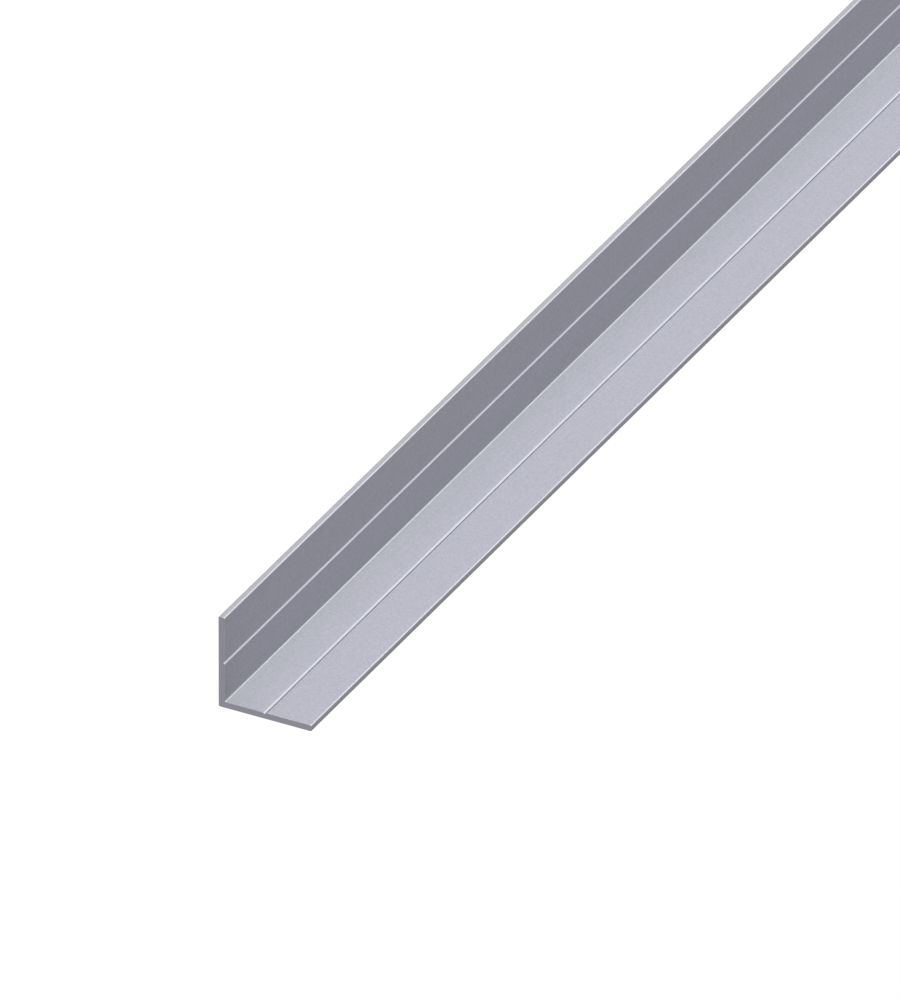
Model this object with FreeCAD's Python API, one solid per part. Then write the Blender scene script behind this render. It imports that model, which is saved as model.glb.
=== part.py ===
import FreeCAD, Part

import math
import os

# An equal angle of extruded aluminium, in millimetres: one leg lies flat, the other
# stands up from its left edge, and the length runs along Y. The origin is on the
# underside, at the middle of the width and of the length.

# The stock and its two legs
LENGTH = 1000.0
LEG_WIDTH = 30.0
WALL = 2.0

# The roundings that the die gives the section
HEEL_RADIUS = 0.4
ROOT_RADIUS = 0.4
TOE_INNER_RADIUS = 0.45
TOE_OUTER_RADIUS = 0.3

# The V-groove that marks the middle of each leg on its inner side
GROOVE_WIDTH = 1.0
GROOVE_ANGLE = 100.0
GROOVE_ROUNDING = 0.08

# Places that follow from the sizes
left = -LEG_WIDTH / 2
right = left + LEG_WIDTH
inner_face = left + WALL
groove_depth = GROOVE_WIDTH / 2 / math.tan(math.radians(GROOVE_ANGLE / 2))
groove_middle = LEG_WIDTH / 2


def groove(middle_x, middle_z, along, inward):
    """Corners of one V-groove: lip, bottom and lip, in the order that `along` goes."""
    middle = FreeCAD.Vector(middle_x, 0, middle_z)
    half_step = along * (GROOVE_WIDTH / 2)
    return [
        (middle - half_step, GROOVE_ROUNDING),
        (middle + inward * groove_depth, GROOVE_ROUNDING),
        (middle + half_step, GROOVE_ROUNDING),
    ]


def section_corners():
    """Corners of the L, each with its rounding, counter-clockwise from the heel."""
    x_axis = FreeCAD.Vector(1, 0, 0)
    z_axis = FreeCAD.Vector(0, 0, 1)
    corners = [
        (FreeCAD.Vector(left, 0, 0), HEEL_RADIUS),
        (FreeCAD.Vector(right, 0, 0), TOE_OUTER_RADIUS),
        (FreeCAD.Vector(right, 0, WALL), TOE_INNER_RADIUS),
    ]
    corners += groove(left + groove_middle, WALL, -x_axis, -z_axis)
    corners.append((FreeCAD.Vector(inner_face, 0, WALL), ROOT_RADIUS))
    corners += groove(inner_face, groove_middle, z_axis, -x_axis)
    corners += [
        (FreeCAD.Vector(inner_face, 0, LEG_WIDTH), TOE_INNER_RADIUS),
        (FreeCAD.Vector(left, 0, LEG_WIDTH), TOE_OUTER_RADIUS),
    ]
    return corners


def rounded_outline(corners):
    """Closed wire through the corners, with a tangent arc of its own radius at each."""
    arcs = []
    for number, (corner, radius) in enumerate(corners):
        before = corners[number - 1][0] - corner
        after = corners[(number + 1) % len(corners)][0] - corner
        before.normalize()
        after.normalize()
        half_angle = before.getAngle(after) / 2
        set_back = radius / math.tan(half_angle)
        bisector = before + after
        bisector.normalize()
        crown = corner + bisector * (radius / math.sin(half_angle) - radius)
        arcs.append(Part.Arc(corner + before * set_back, crown, corner + after * set_back))
    edges = []
    for number, arc in enumerate(arcs):
        following = arcs[(number + 1) % len(arcs)]
        edges.append(arc.toShape())
        edges.append(Part.LineSegment(arc.EndPoint, following.StartPoint).toShape())
    return Part.Wire(edges)


def angle_section():
    """The whole bar: its section, set at the near end and carried along the length."""
    face = Part.Face(rounded_outline(section_corners()))
    face.translate(FreeCAD.Vector(0, -LENGTH / 2, 0))
    return face.extrude(FreeCAD.Vector(0, LENGTH, 0))


os.makedirs("parts", exist_ok=True)
angle_section().exportStep("parts/angle_section.step")
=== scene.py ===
import math

import bpy
import numpy as np
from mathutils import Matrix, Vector


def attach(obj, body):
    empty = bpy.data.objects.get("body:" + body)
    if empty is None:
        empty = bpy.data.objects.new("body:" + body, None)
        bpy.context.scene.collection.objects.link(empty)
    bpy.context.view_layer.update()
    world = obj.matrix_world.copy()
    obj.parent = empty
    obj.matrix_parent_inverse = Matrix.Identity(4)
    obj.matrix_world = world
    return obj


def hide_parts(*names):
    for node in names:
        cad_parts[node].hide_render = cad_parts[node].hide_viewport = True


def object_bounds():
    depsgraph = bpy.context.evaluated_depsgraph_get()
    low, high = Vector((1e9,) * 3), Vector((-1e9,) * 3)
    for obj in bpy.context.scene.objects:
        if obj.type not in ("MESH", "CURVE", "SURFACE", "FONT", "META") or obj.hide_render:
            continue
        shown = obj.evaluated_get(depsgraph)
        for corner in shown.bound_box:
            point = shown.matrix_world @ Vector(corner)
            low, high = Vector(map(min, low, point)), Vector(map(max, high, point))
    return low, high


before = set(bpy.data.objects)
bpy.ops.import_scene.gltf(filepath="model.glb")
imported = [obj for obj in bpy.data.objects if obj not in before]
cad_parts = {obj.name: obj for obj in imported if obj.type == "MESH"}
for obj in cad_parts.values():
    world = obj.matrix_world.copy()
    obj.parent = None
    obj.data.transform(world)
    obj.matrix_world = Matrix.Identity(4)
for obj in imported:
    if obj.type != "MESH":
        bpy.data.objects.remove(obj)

cad_low, cad_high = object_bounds()

# The angle section: aluminium pressed through a die as one L-shaped bar, with rounded
# edges and a V-groove down the middle of each leg's inner side, then satin anodised
# and sawn square at both ends, where the sawn edges are lightly deburred.
WALL = 0.002
HEEL_RADIUS = 0.0004
ROOT_RADIUS = 0.0004
TOE_INNER_RADIUS = 0.00045
TOE_OUTER_RADIUS = 0.0003
GROOVE_WIDTH = 0.001
GROOVE_DEPTH = 0.00042
GROOVE_ROUNDING = 0.00008
DEBURR = 0.00005

left, right = cad_low.x, cad_high.x
near, far = cad_low.y, cad_high.y
floor_level, top_level = cad_low.z, cad_high.z
flat_leg_middle = (left + right) / 2
standing_leg_middle = (floor_level + top_level) / 2
flat_leg_inside = floor_level + WALL
standing_leg_inside = left + WALL
half_groove = GROOVE_WIDTH / 2

# Each corner of the section as x, z, rounding, and the strengths of the painted highlight
# and the painted shade there, counter-clockwise from the heel
section_corners = np.array([
    (left, floor_level, HEEL_RADIUS, 0, 0),
    (right, floor_level, TOE_OUTER_RADIUS, 0, 1),
    (right, flat_leg_inside, TOE_INNER_RADIUS, 1, 0),
    (flat_leg_middle + half_groove, flat_leg_inside, GROOVE_ROUNDING, 0.75, 1),
    (flat_leg_middle, flat_leg_inside - GROOVE_DEPTH, GROOVE_ROUNDING, 0.75, 1),
    (flat_leg_middle - half_groove, flat_leg_inside, GROOVE_ROUNDING, 0.75, 0),
    (standing_leg_inside, flat_leg_inside, ROOT_RADIUS, 0.8, 0),
    (standing_leg_inside, standing_leg_middle - half_groove, GROOVE_ROUNDING, 1, 0),
    (standing_leg_inside - GROOVE_DEPTH, standing_leg_middle, GROOVE_ROUNDING, 1, 0),
    (standing_leg_inside, standing_leg_middle + half_groove, GROOVE_ROUNDING, 1, 0),
    (standing_leg_inside, top_level, TOE_INNER_RADIUS, 1, 0),
    (left, top_level, TOE_OUTER_RADIUS, 0, 0.2),
])

ARC_STEPS = 12
# How far the painted highlight and painted shade fade out on faces square to the legs
PAINTED_LIGHT_FADE = 0.00022


def rounded_outline(corners, steps):
    """Points and outward normals of a closed outline with a tangent arc at each corner.

    At a corner whose sides turn by an angle t, the arc of radius r starts
    r * tan(t / 2) before the corner. Its point at share s of the turn is the arc's
    start, plus r * sin(s * t) along the first side, plus r * (1 - cos(s * t)) towards
    the centre. Two more points stand on each straight beside the arc: one a step away,
    to keep it flat, and one a PAINTED_LIGHT_FADE further. Both results are grids, with a row
    for each corner."""
    place, radius = corners[:, :2], corners[:, 2:]
    ahead = np.roll(place, -1, axis=0) - place
    ahead /= np.linalg.norm(ahead, axis=1, keepdims=True)
    behind = np.roll(ahead, 1, axis=0)
    turn = np.arctan2(
        behind[:, 0] * ahead[:, 1] - behind[:, 1] * ahead[:, 0],
        (behind * ahead).sum(axis=1),
    )[:, None]
    side = np.sign(turn)
    to_centre = side * np.stack([-behind[:, 1], behind[:, 0]], axis=1)
    start = place - behind * radius * np.tan(np.abs(turn) / 2)

    angle = np.abs(turn) * np.linspace(0, 1, steps + 1)
    sine, cosine = np.sin(angle)[..., None], np.cos(angle)[..., None]
    behind, to_centre = behind[:, None], to_centre[:, None]
    along_arc = sine * behind + (1 - cosine) * to_centre
    arc = start[:, None] + radius[:, None] * along_arc
    outward = side[:, None] * (sine * behind - cosine * to_centre)

    step = (radius * np.abs(turn) / steps)[:, None]
    apart = np.concatenate([step + PAINTED_LIGHT_FADE, step], axis=1)
    before = arc[:, :1] - behind * apart
    after = arc[:, -1:] + ahead[:, None] * apart[:, ::-1]
    points = np.concatenate([before, arc, after], axis=1)
    normals = np.pad(outward, ((0, 0), (2, 2), (0, 0)), mode="edge")
    return points, normals


# The way that the surface faces where the painted highlight and the painted shade are
# strongest, as an angle from the right upwards, and how far from that they reach
PAINTED_LIGHT_SIDE = np.radians([55, 130])
PAINTED_LIGHT_REACH = np.radians([35, 75])
# A normal whose smaller part is below this is square to a leg
SQUARE_WITHIN = 1e-6


def painted_light_shares(strength, normals):
    """How much painted highlight and painted shade each point of the outline has.

    They are painted by the way the surface faces: a corner's painted light counts fully
    where the surface faces the PAINTED_LIGHT_SIDE, or straight away from it, and falls
    along a cosine to nothing where it is turned from that by the PAINTED_LIGHT_REACH. Only
    on faces square to the legs does it fade out before that, within the
    PAINTED_LIGHT_FADE: there the outermost points have none."""
    side_faced = np.arctan2(normals[..., 1:], normals[..., :1])
    turned = np.abs((side_faced - PAINTED_LIGHT_SIDE + math.pi / 2) % math.pi - math.pi / 2)
    fall = np.cos(math.pi * np.clip(turned / PAINTED_LIGHT_REACH, 0, 1))
    marks = strength[:, None] * (1 + fall) / 2
    square = np.abs(normals).min(axis=2) < SQUARE_WITHIN
    square[:, 1:-1] = False
    marks[square] = 0
    return marks


LENGTH_STEPS = 40
SHARP_FROM = math.radians(30)


def bar_from_section(name, points, normals, marks):
    """Mesh of the section carried along Y: a grid of rings, closed at each end.

    Ring k is the outline at its own y. The first and last rings lie in the sawn faces,
    drawn in along the outline's normals by the deburring, and the next ones, as far
    inside the ends as that, have the full section. The last two faces are the ends."""
    inner = np.linspace(near + DEBURR, far - DEBURR, LENGTH_STEPS + 1)
    rings_y = np.concatenate([[near], inner, [far]])
    drawn_in = np.zeros((len(rings_y), 1, 1))
    drawn_in[[0, -1]] = DEBURR
    rings, count = len(rings_y), len(points)
    vertices = np.empty((rings, count, 3))
    vertices[..., [0, 2]] = points - drawn_in * normals
    vertices[..., 1] = rings_y[:, None]

    number = np.arange(rings * count).reshape(rings, count)
    following = np.roll(number, -1, axis=1)
    corners = [number[:-1], number[1:], following[1:], following[:-1]]
    faces = np.stack(corners, axis=-1).reshape(-1, 4).tolist()
    faces.append(number[0].tolist())
    faces.append(number[-1][::-1].tolist())

    mesh = bpy.data.meshes.new(name)
    mesh.from_pydata(vertices.reshape(-1, 3).tolist(), [], faces)
    mesh.validate()
    mesh.polygons.foreach_set("use_smooth", np.ones(len(mesh.polygons), dtype=bool))
    mesh.set_sharp_from_angle(angle=SHARP_FROM)
    # Each point's shares of painted highlight and painted shade, as point attributes
    for column, attribute_name in enumerate(("painted_highlight", "painted_shade")):
        attribute = mesh.attributes.new(attribute_name, "FLOAT", "POINT")
        values = np.tile(marks[:, column], rings)
        attribute.data.foreach_set("value", values.astype(np.float32))
    return mesh


def new_material(name):
    """A material, its node tree and its Principled shader."""
    material = bpy.data.materials.new(name)
    material.use_nodes = True
    tree = material.node_tree
    return material, tree, tree.nodes["Principled BSDF"]


def feed(tree, node, inputs):
    """Sets each input to the value given for it, or links it from the socket given."""
    for key, source in inputs.items():
        if isinstance(source, bpy.types.NodeSocket):
            tree.links.new(source, node.inputs[key])
        else:
            node.inputs[key].default_value = source


def add_node(tree, kind, inputs, **settings):
    """A new node of that kind, with its settings made before its inputs are fed."""
    node = tree.nodes.new("ShaderNode" + kind)
    for setting, value in settings.items():
        setattr(node, setting, value)
    feed(tree, node, inputs)
    return node


# Where a Mix node has its first source, its second source and its result
MIX_SOCKETS = {"FLOAT": (2, 3, 0), "RGBA": (6, 7, 2)}


def blended(tree, kind, share, without, with_it):
    """The value or colour that goes from one source to the other with the share."""
    first, second, result = MIX_SOCKETS[kind]
    sources = {"Factor": share, first: without, second: with_it}
    return add_node(tree, "Mix", sources, data_type=kind).outputs[result]


# Painted shade: the satin darkens towards the inside corner of the root, and the toe faces
# are greyed to match
ROOT_PAINTED_SHADE = (0.385, 0.394, 0.408, 1)
ROOT_PAINTED_SHADE_REACH = 0.014
TOE_PAINTED_SHADE = (0.463, 0.461, 0.51, 1)
TOE_PAINTED_SHADE_FADE = 0.0004
SATIN_COLOUR = (0.5, 0.505, 0.575, 1)


def satin_colour_and_painted_shade(tree, place):
    """Colour of the satin metal, with painted shade by its distance from the line of the
    root.

    At that line it lies halfway between ROOT_PAINTED_SHADE and SATIN_COLOUR, a painted
    shade in the inside corner. It passes to SATIN_COLOUR along a smooth step, which ends
    at the ROOT_PAINTED_SHADE_REACH. In the last TOE_PAINTED_SHADE_FADE before the toe
    faces it passes to
    TOE_PAINTED_SHADE, a painted shade on those faces."""
    from_root = add_node(tree, "Mapping", {
        "Vector": place,
        "Location": (-standing_leg_inside, 0, -flat_leg_inside),
        "Scale": (1, 0, 1),
    }).outputs["Vector"]
    length = add_node(tree, "VectorMath", {"Vector": from_root}, operation="LENGTH")
    distance = length.outputs["Value"]
    clear_of_root = add_node(tree, "MapRange", {
        "Value": distance,
        "From Min": -ROOT_PAINTED_SHADE_REACH,
        "From Max": ROOT_PAINTED_SHADE_REACH,
    }, interpolation_type="SMOOTHSTEP").outputs["Result"]
    toe_distance = right - standing_leg_inside
    on_toe_face = add_node(tree, "MapRange", {
        "Value": distance,
        "From Min": toe_distance - TOE_PAINTED_SHADE_FADE,
        "From Max": toe_distance,
    }).outputs["Result"]
    colour = blended(tree, "RGBA", clear_of_root, ROOT_PAINTED_SHADE, SATIN_COLOUR)
    return blended(tree, "RGBA", on_toe_face, colour, TOE_PAINTED_SHADE)


NOISE_LOW, NOISE_HIGH = 0.3, 0.7
NOISE_DETAIL = 3


def mottling(tree, place, size, tone):
    """Noise of that size, and the factor from 1 - tone to 1 + tone that follows it."""
    noise = add_node(tree, "TexNoise", {
        "Vector": place,
        "Scale": 1 / size,
        "Detail": NOISE_DETAIL,
    }).outputs["Fac"]
    factor = add_node(tree, "MapRange", {
        "Value": noise,
        "From Min": NOISE_LOW,
        "From Max": NOISE_HIGH,
        "To Min": 1 - tone,
        "To Max": 1 + tone,
    }).outputs["Result"]
    return noise, factor


# The die lines are DIE_LINE_STRETCH times as long as they are wide
DIE_LINE_SPACING = 0.0006
DIE_LINE_STRETCH = 250
DIE_LINE_TONE = 0.02
DIE_LINE_HEIGHT = 0.000002
GRAIN_SIZE = 0.0006
GRAIN_TONE = 0.1
SATIN_METAL = 0.12
SATIN_ROUGHNESS = 0.5
SATIN_SHEEN = 0.2
# The painted highlight is pale, glossy metal on the rounded edges and groove flanks that
# face up to the right; the painted shade is near black and matt on those that face up to
# the left or down to the right
PAINTED_HIGHLIGHT_COLOUR = (0.87, 0.88, 0.97, 1)
PAINTED_HIGHLIGHT_ROUGHNESS = 0.25
PAINTED_SHADE_COLOUR = (0.03, 0.03, 0.035, 1)


def satin_finish():
    """Anodised aluminium: pale, matt and finely grained, with lines drawn out along Y.

    Its colour holds the painted shade of satin_colour_and_painted_shade. Over it lie a
    painted highlight, bright glossy metal, and a painted shade, dark and without gloss,
    where the outline's point attributes hold them."""
    material, tree, shader = new_material("satin_aluminium")
    place = add_node(tree, "TexCoord", {}).outputs["Object"]
    drawn_out = add_node(tree, "Mapping", {
        "Vector": place,
        "Scale": (1, 1 / DIE_LINE_STRETCH, 1),
    }).outputs["Vector"]
    die_lines, line_tone = mottling(tree, drawn_out, DIE_LINE_SPACING, DIE_LINE_TONE)
    grain_tone = mottling(tree, place, GRAIN_SIZE, GRAIN_TONE)[1]
    tone = add_node(tree, "Math", {0: line_tone, 1: grain_tone}, operation="MULTIPLY")
    colour = add_node(tree, "VectorMath", {
        "Vector": satin_colour_and_painted_shade(tree, place),
        "Scale": tone.outputs["Value"],
    }, operation="SCALE").outputs["Vector"]
    metallic, roughness = SATIN_METAL, SATIN_ROUGHNESS
    # Lays the painted highlight and the painted shade over the satin, by their attributes
    for painted_attribute, painted_colour, painted_metal, painted_roughness in (
        ("painted_highlight", PAINTED_HIGHLIGHT_COLOUR, 1.0, PAINTED_HIGHLIGHT_ROUGHNESS),
        ("painted_shade", PAINTED_SHADE_COLOUR, 0.0, 1.0),
    ):
        share = add_node(tree, "Attribute", {}, attribute_name=painted_attribute).outputs["Fac"]
        colour = blended(tree, "RGBA", share, colour, painted_colour)
        metallic = blended(tree, "FLOAT", share, metallic, painted_metal)
        roughness = blended(tree, "FLOAT", share, roughness, painted_roughness)
    relief = add_node(tree, "Bump", {"Height": die_lines, "Distance": DIE_LINE_HEIGHT})
    feed(tree, shader, {
        "Base Color": colour,
        "Metallic": metallic,
        "Roughness": roughness,
        "Specular IOR Level": SATIN_SHEEN,
        "Normal": relief.outputs["Normal"],
    })
    return material


# At a scale of 1, Blender's wave texture turns through WAVE_RADIANS in each metre
WAVE_RADIANS = 20
BLADE_CENTRE = (0.09, -0.07)
SAW_MARK_SPACING = 0.0005
SAW_MARK_HEIGHT = 0.000004
SAW_MARK_WAVER = 3.0
SAW_MARK_DETAIL = 2.0
# The sawn ends' colours are darker than the satin, partly as the rougher sawn finish and
# partly as painted shade on the end faces
SAWN_AND_SHADE_COLOUR = (0.27, 0.266, 0.303, 1)
SAWN_AND_SHADE_BRIGHT = (0.29, 0.286, 0.323, 1)
SAWN_ROUGHNESS = 0.6


def sawn_finish():
    """Bare aluminium of the sawn ends: duller, with the curved marks of a circular saw.

    Its dark colour is partly the sawn finish and partly painted shade. The marks are
    wavering rings about the blade's centre, given as x and z."""
    material, tree, shader = new_material("sawn_aluminium")
    place = add_node(tree, "TexCoord", {}).outputs["Object"]
    from_blade_centre = add_node(tree, "Mapping", {
        "Vector": place,
        "Location": (-BLADE_CENTRE[0], 0, -BLADE_CENTRE[1]),
    }).outputs["Vector"]
    marks = add_node(tree, "TexWave", {
        "Vector": from_blade_centre,
        "Scale": 2 * math.pi / WAVE_RADIANS / SAW_MARK_SPACING,
        "Distortion": SAW_MARK_WAVER,
        "Detail": SAW_MARK_DETAIL,
    }, wave_type="RINGS", rings_direction="Y").outputs["Fac"]
    relief = add_node(tree, "Bump", {"Height": marks, "Distance": SAW_MARK_HEIGHT})
    feed(tree, shader, {
        "Base Color": blended(tree, "RGBA", marks, SAWN_AND_SHADE_COLOUR, SAWN_AND_SHADE_BRIGHT),
        "Metallic": 1.0,
        "Roughness": SAWN_ROUGHNESS,
        "Normal": relief.outputs["Normal"],
    })
    return material


outline, outline_normals = rounded_outline(section_corners[:, :3], ARC_STEPS)
outline_painted_light = painted_light_shares(section_corners[:, 3:], outline_normals)
bar_mesh = bar_from_section(
    "angle_bar",
    outline.reshape(-1, 2),
    outline_normals.reshape(-1, 2),
    outline_painted_light.reshape(-1, 2),
)
bar_mesh.materials.append(satin_finish())
sawn_slot = len(bar_mesh.materials)
bar_mesh.materials.append(sawn_finish())
for end_face in bar_mesh.polygons[-2:]:
    end_face.material_index = sawn_slot
angle_bar = bpy.data.objects.new("angle_bar", bar_mesh)
bpy.context.scene.collection.objects.link(angle_bar)
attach(angle_bar, "root")
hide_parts("angle_section")

# The floor is a plain board, and the room round it is white. The camera and reflections
# see both as white, but what they throw on the bar is weak, so the lamps set its tones.
# Under its white the board is grey, and the bar's shadow shows on it faintly.
FLOOR_HALF = 2.5
FLOOR_COLOUR = (0.25, 0.25, 0.25, 1)
FLOOR_FILL = 0.77
ROOM_LEVEL = 0.1
WHITE = (1, 1, 1, 1)


def seen_directly(tree):
    """1 for rays from the camera, off a glossy face or through glass, or else 0."""
    rays = add_node(tree, "LightPath", {}).outputs
    seen = rays["Is Camera Ray"]
    for other in ("Is Glossy Ray", "Is Transmission Ray"):
        either = add_node(tree, "Math", {0: seen, 1: rays[other]}, operation="MAXIMUM")
        seen = either.outputs["Value"]
    return seen


floor_corners = [
    (x * FLOOR_HALF, y * FLOOR_HALF, floor_level)
    for x, y in [(-1, -1), (1, -1), (1, 1), (-1, 1)]
]
floor_mesh = bpy.data.meshes.new("floor")
floor_mesh.from_pydata(floor_corners, [], [(0, 1, 2, 3)])
floor_material, floor_tree, floor_shader = new_material("floor_white")
floor_fill = add_node(floor_tree, "Math", {
    0: seen_directly(floor_tree),
    1: FLOOR_FILL,
}, operation="MULTIPLY")
feed(floor_tree, floor_shader, {
    "Base Color": FLOOR_COLOUR,
    "Roughness": 1.0,
    "Specular IOR Level": 0.0,
    "Emission Color": WHITE,
    "Emission Strength": floor_fill.outputs["Value"],
})
floor_mesh.materials.append(floor_material)
floor_object = bpy.data.objects.new("floor", floor_mesh)
bpy.context.scene.collection.objects.link(floor_object)

room = bpy.data.worlds.new("room")
bpy.context.scene.world = room
room.use_nodes = True
room_tree = room.node_tree
room_level = add_node(room_tree, "MapRange", {
    "Value": seen_directly(room_tree),
    "To Min": ROOM_LEVEL,
    "To Max": 1.0,
})
feed(room_tree, room_tree.nodes["Background"], {
    "Color": WHITE,
    "Strength": room_level.outputs["Result"],
})

# The lamps are a soft key lamp above and in front, and a weaker and wider one low down
# behind the left side, which lights what faces away from the camera.
KEY_FROM, KEY_SPREAD, KEY_LEVEL = (0.17, -0.35, 0.92), 15, 0.96
BEHIND_FROM, BEHIND_SPREAD, BEHIND_LEVEL = (-0.87, 0.48, 0.06), 30, 0.3
LAMP_DISTANCE = 3


def soft_lamp(name, direction, spread, level):
    """A lamp in that direction which lights the whole floor evenly, as from far off.

    Its width is the spread, in degrees as the bar sees it. At a level of 1 it lights a
    white board that faces it to white."""
    data = bpy.data.lights.new(name, "SUN")
    data.angle = math.radians(spread)
    data.energy = level * math.pi
    lamp = bpy.data.objects.new(name, data)
    bpy.context.scene.collection.objects.link(lamp)
    toward = Vector(direction).normalized()
    lamp.location = toward * LAMP_DISTANCE
    lamp.rotation_mode = "QUATERNION"
    lamp.rotation_quaternion = toward.to_track_quat("Z", "Y")


soft_lamp("key", KEY_FROM, KEY_SPREAD, KEY_LEVEL)
soft_lamp("behind", BEHIND_FROM, BEHIND_SPREAD, BEHIND_LEVEL)

# The camera looks down on the near end of the bar from the right, from so far off that
# the long edges stay all but parallel, as in the photograph. Its scale holds halfway
# along the length that shows there, and the heel's near corner falls on HEEL_PIXEL.
FRAME_WIDE, FRAME_HIGH = 900, 1000
CAMERA_AZIMUTH = math.radians(27.81)
CAMERA_ELEVATION = math.radians(30.98)
LENS_MM, SENSOR_MM = 1500.0, 36.0
CLIP_NEAR, CLIP_FAR = 0.5, 60.0
PIXELS_PER_METRE = 3457.0
HEEL_PIXEL = (218.7, 706.15)
VISIBLE_LENGTH = 0.325

to_right = Vector((math.cos(CAMERA_AZIMUTH), math.sin(CAMERA_AZIMUTH), 0))
to_camera = Vector((
    math.sin(CAMERA_AZIMUTH) * math.cos(CAMERA_ELEVATION),
    -math.cos(CAMERA_AZIMUTH) * math.cos(CAMERA_ELEVATION),
    math.sin(CAMERA_ELEVATION),
))
to_top = to_camera.cross(to_right)
# The sensor's width spans the frame's longer side, its height
camera_distance = FRAME_HIGH / PIXELS_PER_METRE * LENS_MM / SENSOR_MM

half_length = VISIBLE_LENGTH / 2
heel_forward = half_length * math.cos(CAMERA_AZIMUTH) * math.cos(CAMERA_ELEVATION)
share_of_distance = (camera_distance - heel_forward) / camera_distance
metres_per_pixel_there = share_of_distance / PIXELS_PER_METRE
look_at = (
    Vector((left, near, floor_level))
    + to_right * ((FRAME_WIDE / 2 - HEEL_PIXEL[0]) * metres_per_pixel_there)
    + to_top * ((HEEL_PIXEL[1] - FRAME_HIGH / 2) * metres_per_pixel_there)
    - to_camera * heel_forward
)

camera_data = bpy.data.cameras.new("camera")
camera_data.lens = LENS_MM
camera_data.sensor_width = SENSOR_MM
camera_data.clip_start = CLIP_NEAR
camera_data.clip_end = CLIP_FAR
camera = bpy.data.objects.new("camera", camera_data)
bpy.context.scene.collection.objects.link(camera)
camera.rotation_mode = "QUATERNION"
camera.location = look_at + to_camera * camera_distance
camera.rotation_quaternion = (-to_camera).to_track_quat("-Z", "Y")
bpy.context.scene.camera = camera

bpy.context.scene.view_settings.view_transform = "Standard"
